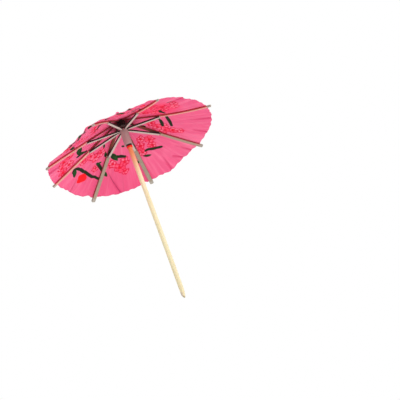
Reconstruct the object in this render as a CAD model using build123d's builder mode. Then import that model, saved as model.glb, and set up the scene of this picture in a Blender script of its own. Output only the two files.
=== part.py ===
from build123d import *
import os
from math import atan2, cos, degrees, hypot, radians, sin, tan

# A paper cocktail umbrella on a wooden pick, standing upright and open.
# Millimetres, +Z up along the pick. The origin is on the pick's axis, where the straight shank
# begins above the point, because that shank is what goes into a fruit or a holder.

# Wooden pick, pointed at both ends
POINT_LENGTH = 6.0
POINT_END_RADIUS = 0.28
SHANK_RADIUS = 1.10
SHANK_LENGTH = 45.0
SHOULDER_LENGTH = 1.0
GUIDE_RADIUS = 1.05
TOP_POINT_LENGTH = 6.0
TOP_END_RADIUS = 0.28

# Card strips: eight ribs glued under the paper, eight struts that push them open
CARD_THICKNESS = 0.40
RIB_WIDTH = 1.90
RIB_ROOT_WIDTH = 0.80
RIB_TAPER_LENGTH = 12.0
RIB_LENGTH = 42.4
RIB_SLOPE = 21.5
RIB_PIVOT_HEIGHT = 87.6
TIP_ROUND = 0.45
STRUT_THICKNESS = 0.80
STRUT_WIDTH = 1.25
STRUT_ROOT_WIDTH = 0.80
STRUT_TAPER_LENGTH = 3.0
STRUT_JOINT_DISTANCE = 17.7
SECOND_PLY_GAP = 0.90

# The ribs are cut and glued by hand, so they stand unevenly around the pick (degrees from +X), and each is
# longer or shorter than the named length by its own trim. The paper's edge follows them.
RIB_AZIMUTHS = (199.5, 169.5, 127.0, 86.0, 37.5, -16.0, -61.0, -105.5)
RIB_TRIMS = (0.0, -0.6, 3.0, 0.2, -1.4, 1.4, 0.0, -0.4)

# Runner, a rolled card tube that carries the struts' inner ends, just below the newsprint spacer
RUNNER_GAP = 1.15
RUNNER_LENGTH = 8.4
RUNNER_WALL = 0.35
RUNNER_MOUTH_ROUND = 0.12
STRUT_PIVOT_DROP = 0.40

# Plastic retaining ring on the pick, half inside the runner's mouth
RING_WALL = 0.37
RING_LENGTH = 3.2
RING_INSIDE_RUNNER = 1.6
RING_EDGE_ROUND = 0.10

# Collar that the ribs' inner ends are gathered on, over a spacer of rolled newsprint
SPACER_WALL = 0.35
SPACER_LENGTH = 3.4
COLLAR_WALL = 0.60
COLLAR_LENGTH = 2.6

# Pleated paper canopy
PAPER_THICKNESS = 0.15
RIB_OVERHANG = 1.5
PLEAT_PITCH = 7.5
PLEAT_HEIGHT = 0.6
LAND_WIDTH = 2.2

# Twisted paper finial over the pick's upper point
FINIAL_LENGTH = 4.6
FINIAL_BASE_RADIUS = 1.30
FINIAL_NECK_RADIUS = 0.95
FINIAL_NECK_RISE = 0.9
FINIAL_HEAD_RADIUS = 1.15
FINIAL_HEAD_DROP = 1.4

# Clearances between pieces that move against each other
RUNNER_CLEARANCE = 0.13
PIVOT_CLEARANCE = 0.11
JOINT_CLEARANCE = 0.10
CANOPY_CLEARANCE = 0.10
SEAT_CLEARANCE = 0.03

# Radii that follow from one layer lying on the next
ring_radius = GUIDE_RADIUS + RING_WALL
runner_bore = ring_radius + RUNNER_CLEARANCE
runner_radius = runner_bore + RUNNER_WALL
spacer_radius = GUIDE_RADIUS + SPACER_WALL
collar_radius = spacer_radius + COLLAR_WALL

# Rib pivot at the collar, as a radius beside the named height
slope = radians(RIB_SLOPE)
rib_pivot_radius = collar_radius + PIVOT_CLEARANCE + CARD_THICKNESS / 2

# Canopy cone: its underside stands clear of the ribs and meets the axis at the cone's apex
rib_tip_radius = rib_pivot_radius + RIB_LENGTH * cos(slope)
rim_radius = rib_tip_radius - RIB_OVERHANG
canopy_lift = (CARD_THICKNESS / 2 + CANOPY_CLEARANCE) / cos(slope)
apex_height = RIB_PIVOT_HEIGHT + canopy_lift + rib_pivot_radius * tan(slope)
paper_rise = PAPER_THICKNESS / cos(slope)

# Heights of the collar's and the finial's seats under and over the paper
collar_top = apex_height - collar_radius * tan(slope) - CANOPY_CLEARANCE
finial_seat = apex_height + paper_rise - GUIDE_RADIUS * tan(slope) / 2 + SEAT_CLEARANCE
pick_top = finial_seat + FINIAL_LENGTH - PAPER_THICKNESS * 3
top_point_start = pick_top - TOP_POINT_LENGTH
point_taper = (GUIDE_RADIUS - TOP_END_RADIUS) / TOP_POINT_LENGTH
canopy_hole = GUIDE_RADIUS - point_taper * (collar_top - top_point_start) + CANOPY_CLEARANCE

# Runner and strut pivot: the open runner stops a small gap below the spacer
runner_top = collar_top - SPACER_LENGTH - RUNNER_GAP
runner_foot = runner_top - RUNNER_LENGTH
strut_pivot_radius = runner_radius + PIVOT_CLEARANCE + STRUT_THICKNESS / 2
strut_pivot_height = runner_top - STRUT_PIVOT_DROP

# Joint between strut and rib: folded, the strut lies just clear of the rib's underside
joint_depth = CARD_THICKNESS / 2 + JOINT_CLEARANCE + STRUT_THICKNESS / 2
joint_radius = rib_pivot_radius + STRUT_JOINT_DISTANCE * cos(slope) - joint_depth * sin(slope)
joint_height = RIB_PIVOT_HEIGHT - STRUT_JOINT_DISTANCE * sin(slope) - joint_depth * cos(slope)
strut_length = hypot(joint_radius - strut_pivot_radius, joint_height - strut_pivot_height)
strut_fall = atan2(strut_pivot_height - joint_height, joint_radius - strut_pivot_radius)

os.makedirs("parts", exist_ok=True)


def save(part, name):
    part.label = name
    export_step(part, f"parts/{name}.step")


def outward(azimuth):
    return Vector(cos(radians(azimuth)), sin(radians(azimuth)), 0)


def strip_plane(azimuth, radius, height, fall):
    """Plane that a card strip lies in: X along the strip, falling outwards, and Z out of its upper face."""
    away = outward(azimuth)
    along = away * cos(fall) - Vector(0, 0, sin(fall))
    normal = away * sin(fall) + Vector(0, 0, cos(fall))
    return Plane(origin=away * radius + Vector(0, 0, height), x_dir=along, z_dir=normal)


def across(plane, distance):
    """Plane square to a strip at a distance along it, with Z across the strip's width."""
    return Plane(origin=plane.from_local_coords(Vector(distance, 0, 0)), x_dir=plane.x_dir, z_dir=plane.y_dir)


def pleat_lines():
    """Direction of each fold line of the canopy, whether it is a raised one, and the radius of the paper's edge
    there: flat lands over the ribs, zigzag pleats between them."""
    lines = []
    order = sorted((angle % 360, trim * cos(slope)) for angle, trim in zip(RIB_AZIMUTHS, RIB_TRIMS))
    round_again = (order[0][0] + 360, order[0][1])
    land = degrees(LAND_WIDTH / 2 / rim_radius)
    for (here, trim), (after, next_trim) in zip(order, order[1:] + [round_again]):
        first, last = here + land, after - land
        pleats = max(1, round((last - first) / PLEAT_PITCH))
        for k in range(2 * pleats + 1):
            share = k / (2 * pleats)
            edge = rim_radius + trim + (next_trim - trim) * share
            lines.append((outward(first + (last - first) * share), k % 2 == 1, edge))
    return lines


def paper_corners(line, radius=None):
    """The paper's lower and upper corner on one fold line, at a radius from the axis or else at the paper's edge."""
    direction, raised, edge = line
    if radius is None:
        radius = edge
    fall = tan(slope) - PLEAT_HEIGHT / rim_radius if raised else tan(slope)
    lower = direction * radius + Vector(0, 0, apex_height - radius * fall)
    return lower, lower + Vector(0, 0, paper_rise)


def flat_face(*corners):
    return Face(Wire.make_polygon(corners))


# Pick: a turned stick with a long point below and a covered point above
with BuildPart() as pick:
    with BuildSketch(Plane.XZ):
        with BuildLine():
            Polyline(
                (0, -POINT_LENGTH),
                (POINT_END_RADIUS, -POINT_LENGTH),
                (SHANK_RADIUS, 0),
                (SHANK_RADIUS, SHANK_LENGTH),
                (GUIDE_RADIUS, SHANK_LENGTH + SHOULDER_LENGTH),
                (GUIDE_RADIUS, top_point_start),
                (TOP_END_RADIUS, pick_top),
                (0, pick_top),
                close=True,
            )
        make_face()
    revolve(axis=Axis.Z)
save(pick.part, "pick")

# Retaining ring: a short plastic sleeve gripping the pick
ring_top = runner_foot + RING_INSIDE_RUNNER
with BuildPart() as retaining_ring:
    with BuildSketch(Plane.XY.offset(ring_top - RING_LENGTH)):
        Circle(ring_radius)
        Circle(GUIDE_RADIUS, mode=Mode.SUBTRACT)
    extrude(amount=RING_LENGTH)
    outer_edges = retaining_ring.edges().filter_by(GeomType.CIRCLE).group_by(SortBy.RADIUS)[-1]
    fillet(outer_edges, radius=RING_EDGE_ROUND)
save(retaining_ring.part, "retaining_ring")

# Runner: a card tube, its mouth worn round
with BuildPart() as runner:
    with BuildSketch(Plane.XY.offset(runner_foot)):
        Circle(runner_radius)
        Circle(runner_bore, mode=Mode.SUBTRACT)
    extrude(amount=RUNNER_LENGTH)
    mouth_edges = runner.edges().filter_by(GeomType.CIRCLE).group_by(Axis.Z)[0]
    fillet(mouth_edges, radius=RUNNER_MOUTH_ROUND)
save(runner.part, "runner")

# Newsprint spacer and collar, nested on the pick just under the paper
with BuildPart() as newsprint_spacer:
    with BuildSketch(Plane.XY.offset(collar_top - SPACER_LENGTH)):
        Circle(spacer_radius)
        Circle(GUIDE_RADIUS, mode=Mode.SUBTRACT)
    extrude(amount=SPACER_LENGTH)
save(newsprint_spacer.part, "newsprint_spacer")

with BuildPart() as collar:
    with BuildSketch(Plane.XY.offset(collar_top - COLLAR_LENGTH)):
        Circle(collar_radius)
        Circle(spacer_radius, mode=Mode.SUBTRACT)
    extrude(amount=COLLAR_LENGTH)
save(collar.part, "collar")

# Ribs: a card strip from collar to tip, two plies thick outside the strut's joint
for number, (azimuth, trim) in enumerate(zip(RIB_AZIMUTHS, RIB_TRIMS), start=1):
    lie = strip_plane(azimuth, rib_pivot_radius, RIB_PIVOT_HEIGHT, slope)
    underside = lie.offset(-CARD_THICKNESS / 2)
    length = RIB_LENGTH + trim
    ply_start = STRUT_JOINT_DISTANCE + SECOND_PLY_GAP
    ply_length = length - ply_start
    with BuildPart() as rib:
        with BuildSketch(underside):
            with BuildLine():
                Polyline(
                    (0, -RIB_ROOT_WIDTH / 2),
                    (RIB_TAPER_LENGTH, -RIB_WIDTH / 2),
                    (length, -RIB_WIDTH / 2),
                    (length, RIB_WIDTH / 2),
                    (RIB_TAPER_LENGTH, RIB_WIDTH / 2),
                    (0, RIB_ROOT_WIDTH / 2),
                    close=True,
                )
            outline = make_face()
            fillet(outline.vertices().group_by(Axis.X)[-1], radius=TIP_ROUND)
        extrude(amount=CARD_THICKNESS)
        with BuildSketch(underside):
            with Locations((ply_start + ply_length / 2, 0)):
                second_ply = Rectangle(ply_length, RIB_WIDTH)
            fillet(second_ply.vertices().group_by(Axis.X)[-1], radius=TIP_ROUND)
        extrude(amount=-CARD_THICKNESS)
        with BuildSketch(across(lie, 0)):
            Circle(CARD_THICKNESS / 2)
        extrude(amount=RIB_ROOT_WIDTH / 2, both=True)
    save(rib.part, f"rib_{number}")

# Struts: narrower card strips from the runner to the ribs, with rounded hinge ends
for number, azimuth in enumerate(RIB_AZIMUTHS, start=1):
    lie = strip_plane(azimuth, strut_pivot_radius, strut_pivot_height, strut_fall)
    with BuildPart() as strut:
        with BuildSketch(lie.offset(-STRUT_THICKNESS / 2)):
            with BuildLine():
                Polyline(
                    (0, -STRUT_ROOT_WIDTH / 2),
                    (STRUT_TAPER_LENGTH, -STRUT_WIDTH / 2),
                    (strut_length, -STRUT_WIDTH / 2),
                    (strut_length, STRUT_WIDTH / 2),
                    (STRUT_TAPER_LENGTH, STRUT_WIDTH / 2),
                    (0, STRUT_ROOT_WIDTH / 2),
                    close=True,
                )
            make_face()
        extrude(amount=STRUT_THICKNESS)
        with BuildSketch(across(lie, 0)):
            Circle(STRUT_THICKNESS / 2)
        extrude(amount=STRUT_ROOT_WIDTH / 2, both=True)
        with BuildSketch(across(lie, strut_length)):
            Circle(STRUT_THICKNESS / 2)
        extrude(amount=STRUT_WIDTH / 2, both=True)
    save(strut.part, f"strut_{number}")

# Canopy: one disc of paper, pleated so that it can close, holed for the pick's upper point
lines = pleat_lines()
facets = []
for line, following in zip(lines, lines[1:] + lines[:1]):
    hole_low, hole_high = paper_corners(line, canopy_hole)
    rim_low, rim_high = paper_corners(line)
    next_hole_low, next_hole_high = paper_corners(following, canopy_hole)
    next_rim_low, next_rim_high = paper_corners(following)
    facets.append(flat_face(hole_low, rim_low, next_rim_low, next_hole_low))
    facets.append(flat_face(hole_high, rim_high, next_rim_high, next_hole_high))
    facets.append(flat_face(rim_low, rim_high, next_rim_high, next_rim_low))
    facets.append(flat_face(hole_low, hole_high, next_hole_high, next_hole_low))
with BuildPart() as canopy:
    add(Solid(Shell(facets)))
save(canopy.part, "canopy")

# Finial: a wisp of paper twisted over the pick's end, pinched at the neck and round at the head
with BuildPart() as finial:
    with BuildSketch(Plane.XZ):
        with BuildLine():
            base = Line((0, finial_seat), (FINIAL_BASE_RADIUS, finial_seat))
            Spline(
                base @ 1,
                (FINIAL_NECK_RADIUS, finial_seat + FINIAL_NECK_RISE),
                (FINIAL_HEAD_RADIUS, finial_seat + FINIAL_LENGTH - FINIAL_HEAD_DROP),
                (0, finial_seat + FINIAL_LENGTH),
                tangents=[(-1, 0.6), (-1, 0)],
            )
            Line((0, finial_seat + FINIAL_LENGTH), base @ 0)
        make_face()
    revolve(axis=Axis.Z)
    add(pick.part, mode=Mode.SUBTRACT)
save(finial.part, "finial")

print("Rib tips reach about", round(rib_tip_radius, 2), "from the axis; paper rim about", round(rim_radius, 2))
print("Struts", round(strut_length, 2), "long, falling", round(degrees(strut_fall), 2), "degrees")
print("Whole length", round(finial_seat + FINIAL_LENGTH + POINT_LENGTH, 2))
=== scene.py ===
# %% [markdown]
# # A paper cocktail umbrella
#
# The real thing is a wooden pick, a sliding card runner with eight struts, eight card ribs and one disc of thin
# pleated paper printed with blossom. The construction model gives every piece its place and its movement, so this
# lesson loads it as a fixed frame and dresses it: each piece is modelled again at its own place, or keeps its solid
# and gets a better finish.

# %% Load the frame
from math import atan2, cos, degrees, hypot, pi, radians, sin, tan

import bmesh
import bpy
import numpy as np
from mathutils import Matrix, Vector, noise


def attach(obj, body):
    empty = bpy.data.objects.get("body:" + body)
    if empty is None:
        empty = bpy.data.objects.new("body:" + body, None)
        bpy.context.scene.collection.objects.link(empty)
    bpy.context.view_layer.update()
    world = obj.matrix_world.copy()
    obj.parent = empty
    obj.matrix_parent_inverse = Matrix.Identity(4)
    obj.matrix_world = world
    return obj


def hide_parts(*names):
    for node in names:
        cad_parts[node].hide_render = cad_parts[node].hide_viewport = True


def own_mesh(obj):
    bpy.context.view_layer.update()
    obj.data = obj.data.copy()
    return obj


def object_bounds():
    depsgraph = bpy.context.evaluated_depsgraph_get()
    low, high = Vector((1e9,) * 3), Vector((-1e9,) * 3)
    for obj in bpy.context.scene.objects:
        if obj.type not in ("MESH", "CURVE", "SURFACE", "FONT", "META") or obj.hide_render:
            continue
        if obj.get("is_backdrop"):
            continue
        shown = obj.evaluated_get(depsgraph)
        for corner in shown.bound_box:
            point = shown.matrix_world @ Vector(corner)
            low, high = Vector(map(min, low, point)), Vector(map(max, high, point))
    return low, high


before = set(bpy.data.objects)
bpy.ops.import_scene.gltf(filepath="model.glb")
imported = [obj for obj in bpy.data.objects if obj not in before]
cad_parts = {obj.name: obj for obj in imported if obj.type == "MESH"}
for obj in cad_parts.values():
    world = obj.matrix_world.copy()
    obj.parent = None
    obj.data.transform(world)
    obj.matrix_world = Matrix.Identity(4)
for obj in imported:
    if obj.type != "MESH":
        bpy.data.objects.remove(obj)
cad_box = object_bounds()
bpy.ops.object.select_all(action="DESELECT")

# %% [markdown]
# ## Sizes
#
# The pieces are small, so they are thought of in millimetres and scaled to metres when they are put in their place.
# These are the sizes of the construction model that the dressed pieces have to meet: where the ribs hinge on the
# collar, where the struts hinge on the runner, and how steep the paper lies. Each rib has its own angle round the
# pick, its own trim beyond the common length, a bend at its tip and a share of the full width that it was cut to.

# %% Sizes in millimetres
MM = 0.001
RIB_AZIMUTHS = (199.5, 169.5, 127.0, 86.0, 37.5, -16.0, -61.0, -105.5)
RIB_TRIMS = (0.0, -0.6, 3.0, 0.2, -1.4, 1.4, 0.0, -0.4)
RIB_BENDS = (-0.5, 0.0, 0.0, 0.0, 0.5, 1.8, 0.9, -1.2)
RIB_SHARES = (0.62, 0.68, 1.0, 1.0, 0.86, 0.52, 0.50, 0.66)
SLOPE = radians(21.5)
CARD = 0.40
RIB_LENGTH, RIB_WIDTH, RIB_ROOT_WIDTH, RIB_TAPER = 42.4, 1.9, 0.8, 12.0
RIB_PIVOT_RADIUS, RIB_PIVOT_HEIGHT = 2.31, 87.6
STRUT_JOINT, JOINT_GAP, SECOND_PLY_GAP = 17.7, 0.10, 0.9
STRUT_THICK, STRUT_WIDTH, STRUT_ROOT_WIDTH, STRUT_TAPER = 0.80, 1.25, 0.8, 3.0
STRUT_PIVOT_RADIUS, STRUT_PIVOT_HEIGHT = 2.41, 82.9945
APEX_HEIGHT, PAPER_THICK = 88.832, 0.15
HOLE_RADIUS, RIM_RADIUS = 1.03, 40.26
joint_depth = CARD / 2 + JOINT_GAP + STRUT_THICK / 2
joint_radius = RIB_PIVOT_RADIUS + STRUT_JOINT * cos(SLOPE) - joint_depth * sin(SLOPE)
joint_height = RIB_PIVOT_HEIGHT - STRUT_JOINT * sin(SLOPE) - joint_depth * cos(SLOPE)
strut_length = hypot(joint_radius - STRUT_PIVOT_RADIUS, joint_height - STRUT_PIVOT_HEIGHT)
strut_fall = atan2(STRUT_PIVOT_HEIGHT - joint_height, joint_radius - STRUT_PIVOT_RADIUS)
print("struts are", round(strut_length, 2), "mm long and fall", round(degrees(strut_fall), 1), "degrees")

# %% [markdown]
# ## Camera
#
# The umbrella is looked at from below, so that the ribs and the print inside the paper show, and the picture is
# tilted. The eye stands 80 cm away, lower than the pick's point, and the camera is rolled by twenty-one degrees.
# Setting the camera's three axes directly is the plainest way to give it such a roll.

# %% Camera
EYE = Vector((21.9, -731.6, -287.0)) * MM
TILT, ROLL = radians(-23.82), radians(-20.76)
back = Vector((0, -cos(TILT), sin(TILT)))
level_right = Vector((1, 0, 0))
level_up = back.cross(level_right)
right = level_right * cos(ROLL) + level_up * sin(ROLL)
up = level_up * cos(ROLL) - level_right * sin(ROLL)
bpy.ops.object.camera_add()
camera = bpy.context.object
camera.name = "studio_camera"
camera.matrix_world = Matrix.Translation(EYE) @ Matrix((right, up, back)).transposed().to_4x4()
camera.data.sensor_width = 36.0
camera.data.lens = 157.38
camera.data.clip_start, camera.data.clip_end = 0.01, 20.0
scene = bpy.context.scene
scene.camera = camera
scene.view_settings.view_transform = "Standard"
print("camera looks up by", round(-degrees(TILT), 1), "degrees")

# %% [markdown]
# ## Stage and light
#
# Light and finishes are both built from nodes, so a few helpers come first. The room is white where it is seen and
# a soft pale grey where it only lights. A plain pale disc lies at the pick's point as a floor. The main picture is
# taken from below that level, so the floor is left out of sight from its underside, and it lets lamplight pass.
# Four soft lamps light the umbrella: a wide one from below, as a bright table does, which picks out the undersides
# of ribs and struts and leaves their upright edges dark, one at the right for the pick's bright side, a weak one at
# the left that fills its other side, and the ceiling, which shines through the paper.

# %% Helpers for nodes
def node(tree, kind, **settings):
    """A new node with its settings."""
    made = tree.nodes.new(kind)
    for name, value in settings.items():
        setattr(made, name, value)
    return made


def feed(tree, made, values):
    """Gives a node's inputs, by name or place, what is listed: another node's output or plain numbers."""
    for name, value in values.items():
        if isinstance(value, bpy.types.NodeSocket):
            tree.links.new(value, made.inputs[name])
        else:
            made.inputs[name].default_value = value
    return made


def sums(tree, operation, first, second):
    return feed(tree, node(tree, "ShaderNodeMath", operation=operation), {0: first, 1: second}).outputs[0]


def two_shaders(tree, share, first, second):
    """The first shader, and the second one by a share."""
    sides = {"Fac": share, 1: first.outputs[0], 2: second.outputs[0]}
    return feed(tree, node(tree, "ShaderNodeMixShader"), sides).outputs[0]


def new_finish(name):
    """A new material, its nodes and its surface."""
    made = bpy.data.materials.new(name)
    made.use_nodes = True
    return made, made.node_tree, made.node_tree.nodes["Principled BSDF"]


print("node helpers ready")

# %% White room
scene.world = bpy.data.worlds.new("studio_white")
scene.world.use_nodes = True
tree = scene.world.node_tree
tree.nodes.clear()
rays = node(tree, "ShaderNodeLightPath").outputs
seen = sums(tree, "MAXIMUM", rays["Is Camera Ray"], rays["Is Glossy Ray"])
seen = sums(tree, "MAXIMUM", seen, rays["Is Transmission Ray"])
soft_room = feed(tree, node(tree, "ShaderNodeBackground"), {"Color": (0.97, 0.98, 1.0, 1), "Strength": 0.46})
white_sheet = feed(tree, node(tree, "ShaderNodeBackground"), {"Color": (1, 1, 1, 1)})
room = two_shaders(tree, seen, soft_room, white_sheet)
feed(tree, node(tree, "ShaderNodeOutputWorld"), {"Surface": room})
print("white room of", len(tree.nodes), "nodes")

# %% Floor
FLOOR_RADIUS, FLOOR_LEVEL = 0.5, -6.0 * MM
bpy.ops.mesh.primitive_circle_add(
    vertices=128, radius=FLOOR_RADIUS, fill_type="NGON", location=(0, 0, FLOOR_LEVEL)
)
floor = bpy.context.object
floor.name = "studio_floor"
pale_floor, tree, surface = new_finish("pale_floor")
feed(tree, surface, {"Base Color": (0.86, 0.86, 0.86, 1), "Roughness": 0.8})
underside = node(tree, "ShaderNodeNewGeometry").outputs["Backfacing"]
lamplight = node(tree, "ShaderNodeLightPath").outputs["Is Shadow Ray"]
unseen = sums(tree, "MAXIMUM", underside, lamplight)
floor_shown = two_shaders(tree, unseen, surface, node(tree, "ShaderNodeBsdfTransparent"))
feed(tree, tree.nodes["Material Output"], {"Surface": floor_shown})
floor.data.materials.append(pale_floor)
floor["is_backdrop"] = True
print("floor is", 2 * FLOOR_RADIUS, "m across")

# %% Lamps
def softbox(name, place, target, size, power):
    """A round soft lamp that shines from its place at a target."""
    bpy.ops.object.light_add(type="AREA", location=place)
    lamp = bpy.context.object
    lamp.name = name
    lamp.data.shape = "DISK"
    lamp.data.size = size
    lamp.data.energy = power
    aim = Vector(target) - Vector(place)
    lamp.rotation_mode = "QUATERNION"
    lamp.rotation_quaternion = aim.to_track_quat("-Z", "Y")


CANOPY_MIDDLE, PICK_MIDDLE = (0, 0, 0.08), (0, 0, 0.04)
softbox("table_glow", (0.16, 0.12, -0.55), CANOPY_MIDDLE, 0.7, 3.1)
softbox("right_window", (0.54, -0.40, 0.06), PICK_MIDDLE, 0.35, 2.2)
softbox("left_fill", (-0.50, -0.45, 0.02), PICK_MIDDLE, 0.40, 0.9)
softbox("ceiling_light", (-0.20, 0.10, 0.75), CANOPY_MIDDLE, 0.6, 3.2)
print("four lamps round the umbrella")

# %% [markdown]
# ## Paper: the folded shape
#
# The real canopy is one disc of tissue, glued to the ribs and pressed into radial pleats so that it can close. It
# could be modelled flat and creased by hand, but the folds all run to one point, so a polar grid whose height is
# worked out from the fold lines gives every crease at once. The paper lies flat on each rib and zigzags between
# ribs. No two folds are alike in a hand-made one, so each fold line gets its own height and a small sideways shift.

# %% Fold lines of the paper
PLEAT_PITCH, PLEAT_HEIGHT, LAND_WIDTH = 7.5, 0.6, 2.2
FOLD_SHIFT, RIDGE_RISE, VALLEY_RISE = 1.1, (0.10, 1.0), (0.0, 0.30)
luck = np.random.default_rng(11)


def fold_lines():
    """Angle and height at the rim of every fold, all the way round."""
    order = sorted(a % 360 for a in RIB_AZIMUTHS)
    land = degrees(LAND_WIDTH / 2 / RIM_RADIUS)
    angles, heights = [], []
    for here, after in zip(order, order[1:] + [order[0] + 360]):
        first, last = here + land, after - land
        pleats = max(1, round((last - first) / PLEAT_PITCH))
        for k in range(2 * pleats + 1):
            inner = 0 < k < 2 * pleats
            shift = luck.uniform(-FOLD_SHIFT, FOLD_SHIFT) if inner and k != pleats else 0.0
            angles.append(first + (last - first) * k / (2 * pleats) + shift)
            rise = luck.uniform(*(RIDGE_RISE if k % 2 == 1 else VALLEY_RISE))
            heights.append(PLEAT_HEIGHT * rise if inner else 0.0)
    return np.array(angles), np.array(heights)


fold_angles, fold_heights = fold_lines()
wrapped_angles = np.concatenate([fold_angles - 360, fold_angles, fold_angles + 360])
wrapped_heights = np.tile(fold_heights, 3)
print(len(fold_angles), "fold lines, the highest", round(float(fold_heights.max()), 2), "mm")

# %% [markdown]
# ## Paper: height and edge
#
# Seven things shape the sheet: the cone, the pleats, the slack that lets it hang or bulge between two ribs, the bend
# of the card ribs, a soft crumple that handling leaves, one fold that hangs low at the edge, and the ragged edge of
# a disc cut through many layers at once. The pleats are rounded a little, because tissue doesn't hold a knife edge.
# One sharp crease and some soft ones run across them. What each rib or each gap has of its own is listed once and
# carried over to the paper by angle.

# %% From ribs to paper
in_turn = sorted(zip([a % 360 for a in RIB_AZIMUTHS], RIB_TRIMS, RIB_BENDS))
gap_starts, edge_trims, edge_bends = (np.array(row) for row in zip(*in_turn, in_turn[0]))
gap_starts[-1] += 360


def once_round(angle):
    return np.mod(angle - gap_starts[0], 360) + gap_starts[0]


def from_ribs(angle, values):
    """Carries a value that each rib has over to the paper between the ribs."""
    return np.interp(once_round(angle), gap_starts, values)


def between_ribs(angle, values):
    """Carries a value that each gap between two ribs has over to the paper: full halfway, nothing at the ribs."""
    turn = once_round(angle)
    gap = np.clip(np.searchsorted(gap_starts, turn, side="right") - 1, 0, 7)
    share = (turn - gap_starts[gap]) / (gap_starts[gap + 1] - gap_starts[gap])
    return np.array(values)[gap] * np.sin(pi * share)


print("gaps between ribs start at", gap_starts[:-1].tolist(), "degrees")

# %% Cut edge of the paper
EDGE_CUTS = (0.0, 0.9, 1.3, 0.0, 0.0, 0.0, 0.0, 0.0)
EDGE_SPARE, EDGE_WAVES = 0.10, ((0.20, 5, 1.0), (0.12, 13, 0.4))
NICK_GAPS, NICK_DEPTHS, LAST_NICK = (1.3, 4.2), (0.10, 0.55), 358.5
nick_angles = np.cumsum(luck.uniform(*NICK_GAPS, 240))
nick_angles = nick_angles[nick_angles < LAST_NICK]
nicked = np.arange(len(nick_angles)) % 2 == 0
nick_depths = np.where(nicked, luck.uniform(*NICK_DEPTHS, len(nick_angles)), 0.0)


def rim_at(angle):
    """Radius of the cut edge: it follows the longer and shorter ribs, is cut straighter in two gaps, and has shallow
    uneven nicks and a slow wander."""
    wander = sum(depth * np.sin(waves * np.radians(angle) + start) for depth, waves, start in EDGE_WAVES)
    trim = from_ribs(angle, edge_trims) * cos(SLOPE) - between_ribs(angle, EDGE_CUTS)
    nicks = np.interp(np.mod(angle, 360), nick_angles, nick_depths)
    return RIM_RADIUS + EDGE_SPARE + trim + wander - nicks


rim = rim_at(np.arange(0, 360, 0.5))
print("edge lies", round(float(rim.min()), 1), "to", round(float(rim.max()), 1), "mm from the axis")

# %% Creases, each course as radius and angle on the paper
SHARP_CREASES, SOFT_CREASE_GAP, NO_CREASE = 1, 0.14, 5.0
CREASES = (
    ((29.0, 120.5), (34.5, 114.2), (40.2, 108.8)), ((27.8, 65.0), (34.5, 67.5), (40.6, 69.0)),
    ((26.0, 5.6), (40.6, 5.0)), ((31.0, 48.5), (40.6, 46.5)), ((34.8, 60.0), (40.6, 55.5)),
    ((33.0, 21.0), (40.6, 22.5)), ((30.0, -44.0), (40.6, -40.0)), ((27.0, -84.0), (40.6, -80.0)),
    ((29.0, -132.0), (40.6, -127.0)), ((33.0, 152.0), (40.6, 150.0)), ((32.0, 184.0), (40.6, 186.5)),
)


def flat_place(radius, angle):
    return np.array([radius * cos(radians(angle)), radius * sin(radians(angle))])


def along_line(points, a, b):
    """How far along the line from a to b the nearest spot to each point lies, as a share, and how far off it is."""
    way = b - a
    share = np.clip(((points - a) @ way) / (way @ way), 0, 1)
    return share, np.hypot(*(points - a - share[:, None] * way).T)


def crease_gap(points):
    """Distance of flat points from the nearest crease, in millimetres. Soft ones count as farther away."""
    nearest = np.full(len(points), NO_CREASE)
    for number, course in enumerate(CREASES):
        soft = 0.0 if number < SHARP_CREASES else SOFT_CREASE_GAP
        ends = [flat_place(*c) for c in course]
        for a, b in zip(ends, ends[1:]):
            nearest = np.minimum(nearest, along_line(points, a, b)[1] + soft)
    return nearest


print(SHARP_CREASES, "sharp crease and", len(CREASES) - SHARP_CREASES, "soft ones")

# %% Height of the paper
SLACK = (0.55, -1.9, -1.0, 0.0, -3.7, -1.6, 0.0, 0.0)
SOFT_FOLD, GLUED_WIDTH, FREE_WIDTH = 0.45, 6.0, 3.2
CREASE_WIDTH, CREASE_RISE, CREASE_START = 0.7, 0.35, 0.6
DROOP_ANGLE, DROOP_SPREAD, DROOP_DEPTH = 70.0, 6.5, 1.75
LOFT, CRUMPLE_DEPTH = 0.25, 0.55
DENTS = ((6.0, 1.8, 0.0, 0.62), (19.0, 2.6, 9.0, 0.38))


def pleat_height(angle):
    """Height of the pleats at the rim, in millimetres, with each fold rounded over a small angle."""
    taps = [np.interp(angle + d * SOFT_FOLD, wrapped_angles, wrapped_heights) for d in (-1, -0.5, 0, 0.5, 1)]
    return sum(taps) / len(taps)


def crumple(angle, reach):
    """Broad and fine dents that follow the folds, as many values between -1 and 1 as there are points."""
    found = np.zeros(len(angle))
    for k, (a, r) in enumerate(zip(np.radians(angle), reach)):
        for around, outwards, offset, share in DENTS:
            found[k] += share * noise.noise(Vector((cos(a) * around, sin(a) * around, r * outwards + offset)))
    return found


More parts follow.
